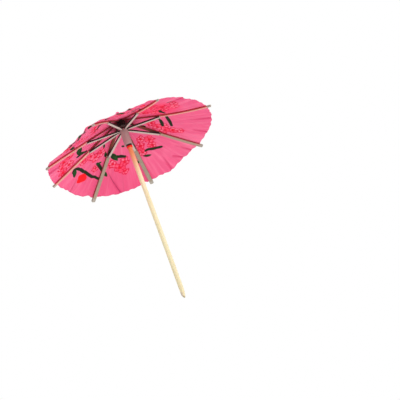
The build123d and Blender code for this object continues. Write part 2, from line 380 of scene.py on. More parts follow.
def paper_under(angle, reach):
    """Points of the paper's underside and their radius. Reach runs from 0 at the hole to 1 at the cut edge."""
    radius = HOLE_RADIUS + (rim_at(angle) - HOLE_RADIUS) * reach
    flat = np.column_stack([radius * np.cos(np.radians(angle)), radius * np.sin(np.radians(angle))])
    near_rib = np.min(np.abs((angle[:, None] - np.array(RIB_AZIMUTHS) + 180) % 360 - 180), axis=1)
    free = np.clip((np.radians(near_rib) * radius - GLUED_WIDTH / 2) / FREE_WIDTH, 0, 1)
    free = free * free * (3 - 2 * free)
    crease = np.exp(-((crease_gap(flat) / CREASE_WIDTH) ** 2))
    crease = crease * np.clip((reach - CREASE_START) / (1 - CREASE_START), 0, 1)
    droop = np.exp(-(((angle - DROOP_ANGLE) / DROOP_SPREAD) ** 2)) * reach**3
    beyond_joint = (radius - RIB_PIVOT_RADIUS) / cos(SLOPE) - STRUT_JOINT
    bent = np.clip(beyond_joint / (RIB_LENGTH + from_ribs(angle, edge_trims) - STRUT_JOINT), 0, 1.1) ** 2
    lift = pleat_height(angle) * (radius / RIM_RADIUS)
    lift = lift + free * reach * (LOFT + CRUMPLE_DEPTH * crumple(angle, reach))
    lift = lift + free * (between_ribs(angle, SLACK) * reach**1.5 + CREASE_RISE * crease)
    lift = lift - DROOP_DEPTH * droop + from_ribs(angle, edge_bends) * bent / cos(SLOPE)
    return np.column_stack([flat, APEX_HEIGHT - radius * tan(SLOPE) + lift]), radius


print("pleats rise", round(float(pleat_height(np.arange(0, 360, 0.5)).max()), 2), "mm at the edge")

# %% [markdown]
# ## Paper: the printed blossom
#
# The paper carries a common blossom print: red outlined flowers, green leaves and dark stems in a ring halfway out,
# with a red bud here and there. An image would do that, but a few drawn shapes stay sharp at any size. Each kind of
# mark is kept as a distance field: for every point of the paper, how far it is outside the nearest petal, leaf or
# stem. The finish then turns distances into ink. A flower is listed by the radius and angle of its middle, its size
# and its turn, a leaf by its tip, its base and half its width, a stem by its course, and a bud by its middle and
# its size.

# %% Marks of the print, each as radius and angle on the paper
FLOWERS = (
    (28.3, 189.6, 2.6, 10), (31.3, 186.0, 2.5, 50), (29.4, 177.0, 2.5, 30), (33.0, 180.0, 2.4, 0),
    (33.9, 173.4, 2.1, 20), (20.6, 147.0, 2.5, 0), (17.8, 141.6, 2.2, 40), (20.9, 155.6, 2.2, 15),
    (24.8, 161.4, 2.0, 35), (26.3, 137.6, 1.9, 55), (24.3, 117.6, 2.2, 25), (26.4, 109.0, 2.7, 60),
    (23.6, 103.2, 2.4, 5), (28.8, 104.0, 1.9, 45), (18.8, 77.0, 2.3, 35), (22.9, 79.4, 2.1, 0),
    (18.3, 58.4, 2.4, 12), (21.9, 63.6, 2.2, 45), (20.6, 83.2, 1.9, 20), (15.4, 68.0, 1.9, 8),
    (13.8, 16.5, 2.2, 20), (16.9, 25.4, 2.4, 50), (20.9, 29.6, 2.4, 5), (24.4, 26.4, 2.3, 33),
    (19.4, 20.0, 2.0, 14), (27.6, 25.0, 1.9, 48), (27.6, -52.6, 2.5, 0), (27.0, -39.5, 2.7, 28),
    (30.4, -31.0, 2.5, 61), (15.4, -40.0, 2.5, 18), (19.6, -30.6, 2.5, 10), (22.6, -46.0, 2.4, 40),
    (33.4, -38.0, 2.1, 22), (24.4, -30.0, 2.0, 50), (24.5, -82.0, 2.7, 10), (28.6, -90.5, 2.2, 44),
    (20.3, -90.0, 2.1, 3), (30.6, -76.0, 2.0, 26), (23.4, -120.0, 2.6, 20), (27.6, -148.2, 2.5, 55),
    (24.2, -138.5, 2.4, 37), (19.0, -131.0, 2.2, 9), (29.6, -133.5, 2.3, 30), (31.6, -142.0, 2.0, 60),
    (36.6, -135.2, 2.3, 15),
)
LEAVES = (
    ((22.5, 196.0), (23.6, 177.0), 1.5), ((23.4, 180.0), (20.6, 174.5), 0.9),
    ((24.2, 140.0), (22.9, 132.0), 0.6), ((33.0, 155.6), (29.3, 162.8), 1.05),
    ((19.4, 164.0), (21.9, 165.5), 0.62), ((27.8, 126.6), (31.2, 120.6), 0.85),
    ((13.2, 147.0), (15.3, 141.0), 0.55), ((17.4, 133.5), (20.2, 129.8), 0.72),
    ((18.2, 124.0), (22.4, 111.6), 1.35), ((14.6, 106.0), (15.6, 99.6), 0.48),
    ((24.9, 81.6), (26.9, 72.9), 0.72), ((26.0, 89.6), (28.3, 88.2), 0.55),
    ((9.4, 42.0), (12.2, 31.0), 1.0), ((16.6, -8.0), (17.8, 4.0), 0.75),
    ((30.6, -61.2), (33.6, -59.8), 0.75), ((21.8, -62.5), (24.8, -60.5), 0.75),
    ((28.2, -62.0), (29.8, -54.8), 0.95), ((19.0, -70.0), (22.2, -66.0), 0.9),
    ((30.6, -112.8), (36.6, -112.0), 0.95), ((33.8, -117.4), (37.4, -115.4), 0.85),
    ((39.9, -117.2), (37.0, -120.6), 0.85), ((33.4, -126.6), (36.7, -122.0), 0.85),
    ((40.0, -123.2), (37.0, -126.4), 0.8), ((35.0, -135.0), (37.6, -128.6), 0.8),
    ((40.0, -129.4), (38.0, -131.4), 0.65), ((40.0, -82.4), (34.4, -77.6), 1.3),
    ((38.8, -88.0), (24.6, -82.6), 1.7), ((25.0, -63.6), (19.0, -51.6), 1.3),
    ((25.6, -158.0), (28.6, -154.6), 0.95), ((20.6, -150.0), (24.0, -146.5), 0.8),
    ((32.6, -44.6), (35.6, -42.0), 0.7),
)
STEMS = (
    ((31.9, 157.2), (30.9, 162.0), (29.6, 163.4), (28.6, 161.0), (28.3, 155.0), (28.7, 148.5),
     (30.5, 138.0), (31.75, 130.5), (32.5, 125.6)), ((23.6, 138.6), (25.0, 133.5), (27.6, 128.0)),
    ((20.0, 173.6), (22.6, 176.9), (24.7, 177.3)), ((20.2, 114.0), (20.1, 108.0), (20.9, 101.6)),
    ((22.8, 75.0), (23.0, 71.0), (24.0, 66.5), (24.9, 62.5), (26.3, 58.4)),
    ((21.3, -11.0), (21.3, -1.0), (21.9, 8.0), (22.9, 17.6)), ((17.8, 4.0), (18.4, 12.0), (19.0, 20.0)),
    ((22.4, -31.6), (21.6, -26.0), (22.1, -20.6)), ((26.0, -66.0), (24.6, -72.0), (23.0, -77.0)),
    ((23.6, -96.0), (26.4, -101.0), (29.6, -99.0)), ((29.8, -140.5), (31.2, -147.5), (30.4, -155.0)),
    ((17.2, -114.0), (19.4, -118.0), (20.4, -126.0)),
    ((38.6, -113.4), (37.4, -117.4), (36.8, -122.4), (37.3, -127.6), (38.8, -132.6)),
)
BUDS = ((31.9, 147.4, 0.98), (32.4, -98.0, 0.7), (32.8, -153.0, 0.75), (31.0, -66.5, 0.6))
print(len(FLOWERS), "flowers,", len(LEAVES), "leaves,", len(STEMS), "stems,", len(BUDS), "buds")

# %% Distance fields of the print
FAR, SHAKE = 3.0, 0.17
HEART_SIZE, PETAL_SIZE, PETAL_PLACE = 0.20, 0.38, 0.60
STEM_HALF_WIDTH, STEM_END_SHARE = 0.82, 0.72
BUD_LOBES = ((-1.55, 0.1, 1.45), (1.5, -0.6, 1.45), (0.0, 0.0, 2.35))
BUD_TIP_SIDE, BUD_TIP_OUT, BUD_TIP_WIDTH = 0.9, 3.2, 1.7


def round_field(points, middle, radius):
    return np.hypot(points[:, 0] - middle[0], points[:, 1] - middle[1]) - radius


def leaf_field(points, tip, base, half_width):
    """A leaf is where two circles overlap: its two sides are their arcs."""
    middle, half = (tip + base) / 2, (base - tip) / 2
    half_length = np.hypot(*half)
    across = np.array([-half[1], half[0]]) / half_length
    bow = (half_length**2 - half_width**2) / (2 * half_width)
    sides = [round_field(points, middle + way * across * bow, bow + half_width) for way in (1, -1)]
    return np.maximum(*sides)


def stroke_field(points, course):
    """Distance from a brush stroke that swells in the middle and thins out at both ends."""
    nearest = np.full(len(points), FAR)
    ends = [flat_place(*c) for c in course]
    for k, (a, b) in enumerate(zip(ends, ends[1:])):
        share, off = along_line(points, a, b)
        swell = np.sin(pi * np.clip((k + share) / (len(ends) - 1), 0.02, 0.98))
        width = STEM_HALF_WIDTH * (STEM_END_SHARE + (1 - STEM_END_SHARE) * swell)
        nearest = np.minimum(nearest, off - width)
    return nearest


def flower_fields(points):
    """Distances from the petals and hearts of the flowers. The places are shaken a little first, as a hand-cut
    printing block would draw them."""
    x, y = points.T
    shake_x = np.sin(2.1 * y + 0.7 * x) + np.sin(3.3 * x + 1.0)
    shake_y = np.sin(1.9 * x - 0.8 * y) + np.sin(3.6 * y + 2.0)
    shaken = points + SHAKE * np.column_stack([shake_x, shake_y])
    petal, heart = np.full(len(points), FAR), np.full(len(points), FAR)
    for radius, angle, size, turn in FLOWERS:
        middle = flat_place(radius, angle)
        heart = np.minimum(heart, round_field(shaken, middle, HEART_SIZE * size))
        for k in range(5):
            petal_middle = middle + PETAL_PLACE * size * flat_place(1, angle + turn + 72 * k)
            petal = np.minimum(petal, round_field(shaken, petal_middle, PETAL_SIZE * size))
    return petal, heart


def bud_field(points):
    """Distance from the buds, each of three round lobes and a slanted tip."""
    bud = np.full(len(points), FAR)
    for radius, angle, size in BUDS:
        middle, outward, along = flat_place(radius, angle), flat_place(1, angle), flat_place(1, angle + 90)
        for side, out, lobe in BUD_LOBES:
            lobe_middle = middle + size * (side * along + out * outward)
            bud = np.minimum(bud, round_field(points, lobe_middle, lobe * size))
        tip = middle + size * (BUD_TIP_OUT * outward + BUD_TIP_SIDE * along)
        bud = np.minimum(bud, leaf_field(points, middle - size * outward, tip, BUD_TIP_WIDTH * size))
    return bud


def print_fields(points):
    """Distances, in millimetres, from each kind of mark of the print."""
    leaf, stem = np.full(len(points), FAR), np.full(len(points), FAR)
    for tip, base, half_width in LEAVES:
        leaf = np.minimum(leaf, leaf_field(points, flat_place(*tip), flat_place(*base), half_width))
    for course in STEMS:
        stem = np.minimum(stem, stroke_field(points, course))
    petal, heart = flower_fields(points)
    return {"petal": petal, "heart": heart, "leaf": leaf, "stem": stem, "bud": bud_field(points)}


print("print fields for", len(print_fields(np.zeros((3, 2)))), "kinds of mark")

# %% [markdown]
# ## Paper: eight gores
#
# When the umbrella closes, each rib takes along the strip of paper that is glued to it, and the paper between ribs
# folds together. So the disc is made as eight sheets that meet exactly in the creases halfway between ribs, each
# with both faces and its thin edge. Inside the ribs' hinges the paper stays glued to the collar, so that middle is a
# ninth sheet. Open, they are one continuous sheet.

# %% Build a sheet of paper
ROWS, MIDDLE_ROWS, STEP_DEGREES, MIDDLE_REACH = 112, 6, 0.45, 0.036
FLAT_SPAN = 90


def keep_values(mesh, name, values):
    """Keeps a number for each point of a mesh, for a finish to read."""
    kept = mesh.attributes.new(name, "FLOAT", "POINT")
    kept.data.foreach_set("value", np.asarray(values, np.float32))


def paper_sheet(name, first, last, low, high, rows):
    """The paper between two angles, from one reach to another."""
    columns = max(8, round((last - first) / STEP_DEGREES)) + 1
    reach, angle = np.meshgrid(np.linspace(low, high, rows), np.linspace(first, last, columns), indexing="ij")
    reach, angle = reach.ravel(), angle.ravel()
    under, radius = paper_under(angle, reach)
    over = under + np.array([0, 0, PAPER_THICK / cos(SLOPE)])
    half = len(under)
    index = np.arange(half).reshape(rows, columns)
    a, b = index[:-1, :-1].ravel(), index[1:, :-1].ravel()
    c, d = index[1:, 1:].ravel(), index[:-1, 1:].ravel()
    lower = np.column_stack([a, d, c, b])
    upper = np.column_stack([a, b, c, d]) + half
    border = np.concatenate([index[:, 0], index[-1, 1:], index[-2::-1, -1], index[0, -2:0:-1]])
    after = np.roll(border, -1)
    walls = np.column_stack([border, after, after + half, border + half])
    mesh = bpy.data.meshes.new(name)
    points = np.concatenate([under, over]) * MM
    mesh.from_pydata(points.tolist(), [], np.concatenate([lower, upper, walls]).tolist())
    flat = under[:, :2]
    fields = print_fields(flat) | {"crease": crease_gap(flat), "fan": angle, "reach": radius / RIM_RADIUS}
    for field, values in fields.items():
        keep_values(mesh, field, np.tile(values, 2))
    keep_values(mesh, "inside", np.repeat((1.0, 0.0), half))
    uv = mesh.uv_layers.new(name="flat_paper")
    corner = np.empty(len(mesh.loops), np.int32)
    mesh.loops.foreach_get("vertex_index", corner)
    uv.data.foreach_set("uv", (np.tile(flat, (2, 1))[corner] / FLAT_SPAN + 0.5).astype(np.float32).ravel())
    mesh.polygons.foreach_set("use_smooth", np.ones(len(mesh.polygons), bool))
    mesh.update()
    sheet = bpy.data.objects.new(name, mesh)
    scene.collection.objects.link(sheet)
    return sheet


print("sheets have", ROWS, "rows and a column every", STEP_DEGREES, "degrees")

# %% Build the gores
gores = []
ordered = sorted(range(8), key=lambda i: RIB_AZIMUTHS[i] % 360)
for place, i in enumerate(ordered):
    here = RIB_AZIMUTHS[i] % 360
    before = RIB_AZIMUTHS[ordered[place - 1]] % 360
    after = RIB_AZIMUTHS[ordered[(place + 1) % 8]] % 360
    first = here - ((here - before) % 360) / 2
    last = here + ((after - here) % 360) / 2
    sheet = paper_sheet(f"paper_gore_{i + 1}", first, last, MIDDLE_REACH, 1, ROWS)
    gores.append((i + 1, sheet, last - first))
middle_paper = paper_sheet("paper_middle", 0, 360, 0, MIDDLE_REACH, MIDDLE_ROWS)
print("gores:", [(gore.name, len(gore.data.polygons)) for _, gore, _ in gores])

# %% [markdown]
# ## Paper: the finish
#
# Dyed tissue is matt and lets light through. Its colour is streaked paler and darker along the folds, as painted light
# and shade of the pleats, and painted shade darkens the folds and creases near the edge, two broad patches at the
# edge between ribs 3 and 4, and the inside round the collar. The dye has pooled in one hot pink spot. The ink of the
# print is mottled, because cheap tissue takes it unevenly. The field of each mark is cut at its edge by a smooth step,
# a little blurred as ink bleeds. Dyes, painted shades and inks are laid on one after the other.

# %% Helpers for finishes
def attribute(tree, name, output="Fac"):
    return node(tree, "ShaderNodeAttribute", attribute_name=name).outputs[output]


def step(tree, value, start, end, low=0.0, high=1.0):
    """A smooth step of a value: low up to start, high from end."""
    made = node(tree, "ShaderNodeMapRange", interpolation_type="SMOOTHSTEP")
    ends = {"Value": value, "From Min": start, "From Max": end, "To Min": low, "To Max": high}
    return feed(tree, made, ends).outputs["Result"]


def times(tree, first, second):
    return sums(tree, "MULTIPLY", first, second)


def blend_colour(tree, share, first, second):
    """Mixes two colours, each a socket or four numbers, by a share that changes over the surface."""
    made = node(tree, "ShaderNodeMix", data_type="RGBA")
    return feed(tree, made, {0: share, 6: first, 7: second}).outputs[2]


def layered(tree, colour, layers):
    """Lays colours over a first one, each by its own share."""
    for share, dye in layers:
        colour = blend_colour(tree, share, colour, dye)
    return colour


def grain(tree, place, scale, detail=3.0, rough=0.55):
    made = node(tree, "ShaderNodeTexNoise")
    settings = {"Vector": place, "Scale": scale, "Detail": detail, "Roughness": rough}
    return feed(tree, made, settings).outputs["Fac"]


def bumps(tree, height, strength, depth):
    """A surface that stands up by a height between 0 and 1, times a depth in metres."""
    made = node(tree, "ShaderNodeBump")
    return feed(tree, made, {"Strength": strength, "Distance": depth, "Height": height}).outputs["Normal"]


def wear(finish, *pieces):
    """Gives pieces their finish."""
    for piece in pieces:
        piece.data.materials.clear()
        piece.data.materials.append(finish)


print("finish helpers ready")

# %% Paper dye
PINK = (0.850, 0.148, 0.310, 1)
PALE_PINK = (0.905, 0.250, 0.410, 1)
DEEP_PINK = (0.780, 0.085, 0.220, 1)
HOT_PINK = (0.930, 0.045, 0.155, 1)
# The last three colours are painted shade: along the folds, in the creases, and inside round the collar.
FOLD_SHADE_PINK = (0.70, 0.050, 0.170, 1)
CREASE_SHADE_RED = (0.30, 0.016, 0.07, 1)
APEX_SHADE_RED = (0.14, 0.010, 0.020, 1)
# The two deep pink patches at the edge between ribs 3 and 4 are painted shade; the hot pink one is pooled dye.
SHADE_PATCHES_AND_DYE_POOL = (
    ((0.29, 0.86, 0), 0.28, 0.50, DEEP_PINK),
    ((0.47, 0.98, 0), 0.22, 0.55, DEEP_PINK),
    ((0.70, 0.33, 0), 0.15, 0.75, HOT_PINK),
)
PATCH_CORE = 0.05

tissue, tree, surface = new_finish("pink_tissue")
flat_uv = node(tree, "ShaderNodeUVMap", uv_map="flat_paper").outputs["UV"]
fan, reach, crease = attribute(tree, "fan"), attribute(tree, "reach"), attribute(tree, "crease")


def streaks_along(around, outwards, offset, detail):
    """Streaks that run with the folds, fine or broad by how closely they follow round the fan."""
    made = node(tree, "ShaderNodeCombineXYZ")
    place = feed(tree, made, {0: times(tree, fan, around), 1: times(tree, reach, outwards), 2: offset})
    return grain(tree, place.outputs[0], 1.0, detail)


def colour_patch(middle, spread, share):
    """A round patch of painted shade or pooled dye: its share in the core, nothing beyond the spread."""
    made = node(tree, "ShaderNodeVectorMath", operation="DISTANCE")
    away = feed(tree, made, {0: flat_uv, 1: middle}).outputs["Value"]
    return step(tree, away, spread, PATCH_CORE, 0.0, share)


fine_streaks = streaks_along(1.4, 2.4, 4.0, 3.0)
# Painted shade on the paper's inside round the collar.
apex_shade = times(tree, step(tree, reach, 0.24, 0.06, 0.0, 0.92), attribute(tree, "inside"))
# Painted shade along the folds and creases near the edge.
fold_shade = times(tree, step(tree, crease, 1.3, 0.2, 0.0, 0.80), step(tree, reach, 0.68, 0.96))
# Patches near the edge where the painted shade of the crease lines shows.
crease_shade_patches = step(tree, grain(tree, flat_uv, 24.0, 2.0), 0.28, 0.46)
crease_shade_patches = times(tree, crease_shade_patches, step(tree, reach, 0.66, 0.84, 0.0, 0.85))
dyes = [
    # The pale and dark streaks along the folds are painted light and shade of the pleats.
    (step(tree, streaks_along(0.30, 1.6, 0.0, 4.0), 0.46, 0.74), PALE_PINK),
    (step(tree, fine_streaks, 0.53, 0.73, 0.0, 0.70), DEEP_PINK),
    (step(tree, grain(tree, flat_uv, 7.0, 3.0), 0.50, 0.75, 0.0, 0.40), PALE_PINK),
    (apex_shade, APEX_SHADE_RED),
    *[(colour_patch(middle, spread, share), dye) for middle, spread, share, dye in SHADE_PATCHES_AND_DYE_POOL],
    (fold_shade, FOLD_SHADE_PINK),
    # Painted shade in the crease lines.
    (times(tree, step(tree, crease, 0.27, 0.08), crease_shade_patches), CREASE_SHADE_RED),
]
dyed_paper = layered(tree, PINK, dyes)
print(len(dyes), "layers of dye")

# %% Printed ink
HALO_PINK, PETAL_PINK, PETAL_RED = (0.95, 0.070, 0.190, 1), (0.95, 0.34, 0.46, 1), (0.92, 0.026, 0.115, 1)
OUTLINE_RED, HEART_RED, BUD_RED = (0.74, 0.004, 0.060, 1), (0.80, 0.006, 0.030, 1), (0.95, 0.008, 0.020, 1)
STEM_DARK, LEAF_DARK, LEAF_GREEN = (0.014, 0.028, 0.006, 1), (0.010, 0.032, 0.006, 1), (0.014, 0.085, 0.012, 1)
BLEED = 0.12
petal = attribute(tree, "petal")
in_petal = step(tree, petal, BLEED, -BLEED)
outline = step(tree, sums(tree, "ABSOLUTE", petal, 0.0), 0.38, 0.14)
mottle = step(tree, grain(tree, flat_uv, 90.0, 3.0), 0.30, 0.55, 0.30, 1.0)
filled = step(tree, grain(tree, flat_uv, 16.0, 1.0), 0.43, 0.58, 0.0, 0.85)
leaf_ink = blend_colour(tree, step(tree, grain(tree, flat_uv, 30.0), 0.38, 0.62), LEAF_DARK, LEAF_GREEN)
inks = [
    (step(tree, petal, 1.1, 0.0, 0.0, 0.20), HALO_PINK),
    (times(tree, in_petal, 0.40), PETAL_PINK),
    (times(tree, in_petal, times(tree, filled, mottle)), PETAL_RED),
    (times(tree, outline, mottle), OUTLINE_RED),
    (step(tree, attribute(tree, "heart"), BLEED, -0.08), HEART_RED),
    (step(tree, attribute(tree, "stem"), BLEED, -BLEED), STEM_DARK),
    (step(tree, attribute(tree, "leaf"), BLEED, -0.10), leaf_ink),
    (step(tree, attribute(tree, "bud"), BLEED, -0.10), BUD_RED),
]
printed_paper = layered(tree, dyed_paper, inks)
print(len(inks), "layers of ink")

# %% Paper surface
LIGHT_THROUGH = 0.30
fibres = grain(tree, flat_uv, 260.0, 4.0, 0.65)
relief = sums(tree, "ADD", fibres, times(tree, fine_streaks, 1.8))
feed(tree, surface, {
    "Base Color": printed_paper,
    "Roughness": step(tree, fibres, 0.3, 0.7, 0.70, 0.88),
    "Normal": bumps(tree, relief, 0.30, 0.00012),
    "Specular IOR Level": 0.25,
})
glow = feed(tree, node(tree, "ShaderNodeBsdfTranslucent"), {"Color": printed_paper})
feed(tree, tree.nodes["Material Output"], {"Surface": two_shaders(tree, LIGHT_THROUGH, surface, glow)})
wear(tissue, middle_paper, *[gore for _, gore, _ in gores])
print("paper finish has", len(tree.nodes), "nodes")

# %% [markdown]
# ## Hands for modelling
#
# The hard pieces are modelled by hand tools in edit mode. These helpers add a primitive, pick faces, edges or
# points by their place, and put a finished piece where it belongs, so that its object sits at the origin.

# %% Helpers for modelling
def only(piece):
    """Selects one piece alone and makes it active."""
    bpy.ops.object.select_all(action="DESELECT")
    piece.select_set(True)
    bpy.context.view_layer.objects.active = piece


def settle():
    """Moves the place, turn and size of the selected piece into its mesh."""
    bpy.ops.object.transform_apply(location=True, rotation=True, scale=True)


def edit(piece):
    only(piece)
    bpy.ops.object.mode_set(mode="EDIT")
    bpy.ops.mesh.select_all(action="SELECT")


def start(name, operator, scale=(1, 1, 1), turn=(0, 0, 0), place=(0, 0, 0), **settings):
    """Adds a primitive at its size and place, and opens it in edit mode."""
    bpy.ops.object.select_all(action="DESELECT")
    operator(**settings)
    piece = bpy.context.object
    piece.name = piece.data.name = name
    piece.scale, piece.rotation_euler, piece.location = scale, turn, place
    settle()
    edit(piece)
    return piece


def pick_out(piece, kind, test):
    """Selects, in edit mode, the points, edges or faces whose middle passes the test. Returns how many."""
    bpy.ops.mesh.select_mode(type={"verts": "VERT", "edges": "EDGE", "faces": "FACE"}[kind])
    bpy.ops.mesh.select_all(action="DESELECT")
    shape = bmesh.from_edit_mesh(piece.data)
    count = 0
    for part in getattr(shape, kind):
        if kind == "verts":
            middle = part.co
        elif kind == "edges":
            middle = (part.verts[0].co + part.verts[1].co) / 2
        else:
            middle = part.calc_center_median()
        if test(middle, part):
            part.select_set(True)
            count += 1
    shape.select_flush_mode()
    bmesh.update_edit_mesh(piece.data)
    return count


def run(edge, axis):
    """How far an edge runs along X, Y or Z, as axis 0, 1 or 2."""
    return abs(edge.verts[0].co[axis] - edge.verts[1].co[axis])


def done():
    """Leaves edit mode with all faces outwards."""
    bpy.ops.mesh.select_all(action="SELECT")
    bpy.ops.mesh.normals_make_consistent(inside=False)
    bpy.ops.object.mode_set(mode="OBJECT")


def finish_with(piece, kind, **settings):
    """Applies a modifier with its settings."""
    modifier = piece.modifiers.new(kind.lower(), kind)
    for name, value in settings.items():
        setattr(modifier, name, value)
    bpy.context.view_layer.objects.active = piece
    bpy.ops.object.modifier_apply(modifier=modifier.name)


def break_edges(piece, width, segments, angle):
    """Rounds the edges that turn by more than an angle."""
    finish_with(piece, "BEVEL", width=width, segments=segments, limit_method="ANGLE", angle_limit=radians(angle))


def put(piece, placing):
    """Moves a finished piece from its millimetres to its place."""
    only(piece)
    piece.matrix_world = placing
    settle()
    bpy.ops.object.shade_smooth_by_angle(angle=radians(35))


IN_METRES = Matrix.Scale(MM, 4)
print("modelling helpers ready")

# %% [markdown]
# ## Ribs
#
# A rib is a strip punched out of grey card. Its inner end is narrow, so that eight of them fit round the collar, and
# its outer part is two plies thick. A cube is stretched into a strip, cut across many times, tapered ring by ring,
# and the second ply is pulled out of its underside and made a hair narrower, which leaves the glue line to be seen.
# Then the tip's corners are rounded and every edge is broken. One rib is modelled and copied, and each copy is
# cut to its own width and length, bent a little and roughed differently, as card strips are.

# %% Helpers for card strips
UPRIGHT = 0.75


def card_strip(name, length, width, thick, middle, cuts):
    """A strip along X, cut across many times, so that it can be shaped ring by ring."""
    piece = start(name, bpy.ops.mesh.primitive_cube_add, (length, width, thick), place=(middle, 0, 0), size=1.0)
    pick_out(piece, "edges", lambda m, e: run(e, 0) > 1)
    bpy.ops.mesh.subdivide(number_cuts=cuts)
    return piece


def cut_across(x):
    bpy.ops.mesh.select_all(action="SELECT")
    bpy.ops.mesh.bisect(plane_co=(x, 0, 0), plane_no=(1, 0, 0))


def taper(piece, length, root_width, width):
    """Narrows a strip towards its inner end. Returns how many rings it has."""
    rings = sorted({round(v.co.x, 4) for v in bmesh.from_edit_mesh(piece.data).verts})
    for x in [x for x in rings if x < length]:
        pick_out(piece, "verts", lambda m, v: abs(m.x - x) < 0.005)
        narrow = (root_width + (width - root_width) * max(x, 0) / length) / width
        bpy.ops.transform.resize(value=(1, narrow, 1), center_override=(x, 0, 0))
    return len(rings)


def mark_shaded_sides(piece, above):
    """Marks the points of the upright sides of a strip above a height, which the finish paints dark as painted shade.
    """
    cut = np.zeros(len(piece.data.vertices))
    for face in piece.data.polygons:
        if abs(face.normal.y) > UPRIGHT and face.center.z > above:
            cut[list(face.vertices)] = 1.0
    keep_values(piece.data, "cut_edge", cut)


def keep_places(piece):
    """Keeps each point's place on the unplaced strip, in millimetres, for a finish that runs along it."""
    kept = piece.data.attributes.new("strip", "FLOAT_VECTOR", "POINT")
    places = np.empty(len(piece.data.vertices) * 3, np.float32)
    piece.data.vertices.foreach_get("co", places)
    kept.data.foreach_set("vector", places)


print("card helpers ready")

# %% Model the rib
SECOND_PLY_SHARE, TIP_ROUNDING = 0.93, 0.42
rib = card_strip("rib_strip", RIB_LENGTH, RIB_WIDTH, CARD, RIB_LENGTH / 2, 40)
ply_start = STRUT_JOINT + SECOND_PLY_GAP
cut_across(ply_start)
rings = taper(rib, RIB_TAPER, RIB_ROOT_WIDTH, RIB_WIDTH)
pick_out(rib, "faces", lambda m, f: f.normal.z < -0.9 and m.x > ply_start)
bpy.ops.mesh.extrude_region_move(TRANSFORM_OT_translate={"value": (0, 0, -CARD)})
bpy.ops.transform.resize(value=(1, SECOND_PLY_SHARE, 1), center_override=(RIB_LENGTH / 2, 0, -1.5 * CARD))
corners = pick_out(rib, "edges", lambda m, e: m.x > RIB_LENGTH - 0.01 and run(e, 2) > 0.1)
bpy.ops.mesh.bevel(offset=TIP_ROUNDING, segments=3)
done()
break_edges(rib, 0.05, 2, 40)
mark_shaded_sides(rib, -CARD / 2)
print("rib:", rings, "rings,", corners, "tip edges rounded,", len(rib.data.polygons), "faces")

# %% Copy the ribs into place
def strip_place(azimuth, radius, height, fall):
    """Where a strip lies: X along it and falling outwards, Z out of its upper face, millimetres made metres."""
    a = radians(azimuth)
    away = Vector((cos(a), sin(a), 0))
    along = away * cos(fall) - Vector((0, 0, sin(fall)))
    normal = away * sin(fall) + Vector((0, 0, cos(fall)))
    turn = Matrix((along, normal.cross(along), normal)).transposed().to_4x4()
    return IN_METRES @ Matrix.Translation(away * radius + Vector((0, 0, height))) @ turn


def copies(model, name, rough, pivot, fits=((1.0, 1.0, 0.0),) * 8, fit_from=0.0):
    """Eight copies of a modelled strip. Each is made narrower, stretched and bent beyond a place by its own amounts,
    roughed with its own seed and put down on its pivot, given as radius, height and fall."""
    made = []
    for number, (share, stretch, bend) in enumerate(fits, start=1):
        only(model)
        bpy.ops.object.duplicate(linked=False)
        piece = bpy.context.object
        piece.name = piece.data.name = f"{name}_{number}"
        keep_places(piece)
        edit(piece)
        bpy.ops.transform.resize(value=(1, share, 1), center_override=(0, 0, 0))
        pick_out(piece, "verts", lambda m, v: m.x > fit_from)
        bpy.ops.transform.resize(value=(stretch, 1, 1), center_override=(fit_from, 0, 0))
        end = max(v.co.x for v in bmesh.from_edit_mesh(piece.data).verts)
        pick_out(piece, "verts", lambda m, v: m.x > end - 0.02)
        bpy.ops.transform.translate(
            value=(0, 0, bend), use_proportional_edit=True,
            proportional_edit_falloff="SHARP", proportional_size=end - fit_from,
        )
        bpy.ops.mesh.select_all(action="SELECT")
        bpy.ops.transform.vertex_random(offset=rough, uniform=1.0, normal=0.0, seed=number)
        bpy.ops.object.mode_set(mode="OBJECT")
        put(piece, strip_place(RIB_AZIMUTHS[number - 1], *pivot))
        made.append(piece)
    bpy.data.objects.remove(model)
    return made


stretches = [1 + trim / (RIB_LENGTH - ply_start) for trim in RIB_TRIMS]
rib_pivot = (RIB_PIVOT_RADIUS, RIB_PIVOT_HEIGHT, SLOPE)
ribs = copies(rib, "card_rib", 0.016, rib_pivot, list(zip(RIB_SHARES, stretches, RIB_BENDS)), ply_start)
print("ribs reach", [round(max(v.co.xy.length for v in r.data.vertices) / MM, 2) for r in ribs], "mm from the axis")
print("rib tips at", [round(min(v.co.z for v in r.data.vertices) / MM, 2) for r in ribs], "mm")

# %% [markdown]
# ## Struts
#
# A strut is a narrower strip of one ply that pushes the rib up from the runner. It bends at both ends along a scored
# line. The score is a ring squeezed thinner, near each end, and the very ends are rounded where they turn.

# %% Model the strut and copy it
STRUT_SPARE, SCORE_PLACE, SCORE_HALF_WIDTH, SCORE_SHARE = 0.9 * STRUT_THICK, 0.9, 0.12, 0.80
full_length = strut_length + STRUT_SPARE
strut = card_strip("strut_strip", full_length, STRUT_WIDTH, STRUT_THICK, strut_length / 2, 22)
for score in (SCORE_PLACE, strut_length - SCORE_PLACE):
    for x in (score - SCORE_HALF_WIDTH, score, score + SCORE_HALF_WIDTH):
        cut_across(x)
    pick_out(strut, "verts", lambda m, v: abs(m.x - score) < 0.01)
    bpy.ops.transform.resize(value=(1, 1, SCORE_SHARE), center_override=(score, 0, 0))
strut_rings = taper(strut, STRUT_TAPER, STRUT_ROOT_WIDTH, STRUT_WIDTH)
done()
break_edges(strut, 0.06, 2, 50)
mark_shaded_sides(strut, -STRUT_THICK)
struts = copies(strut, "card_strut", 0.013, (STRUT_PIVOT_RADIUS, STRUT_PIVOT_HEIGHT, strut_fall))
print("struts:", len(struts), "with", strut_rings, "rings each")

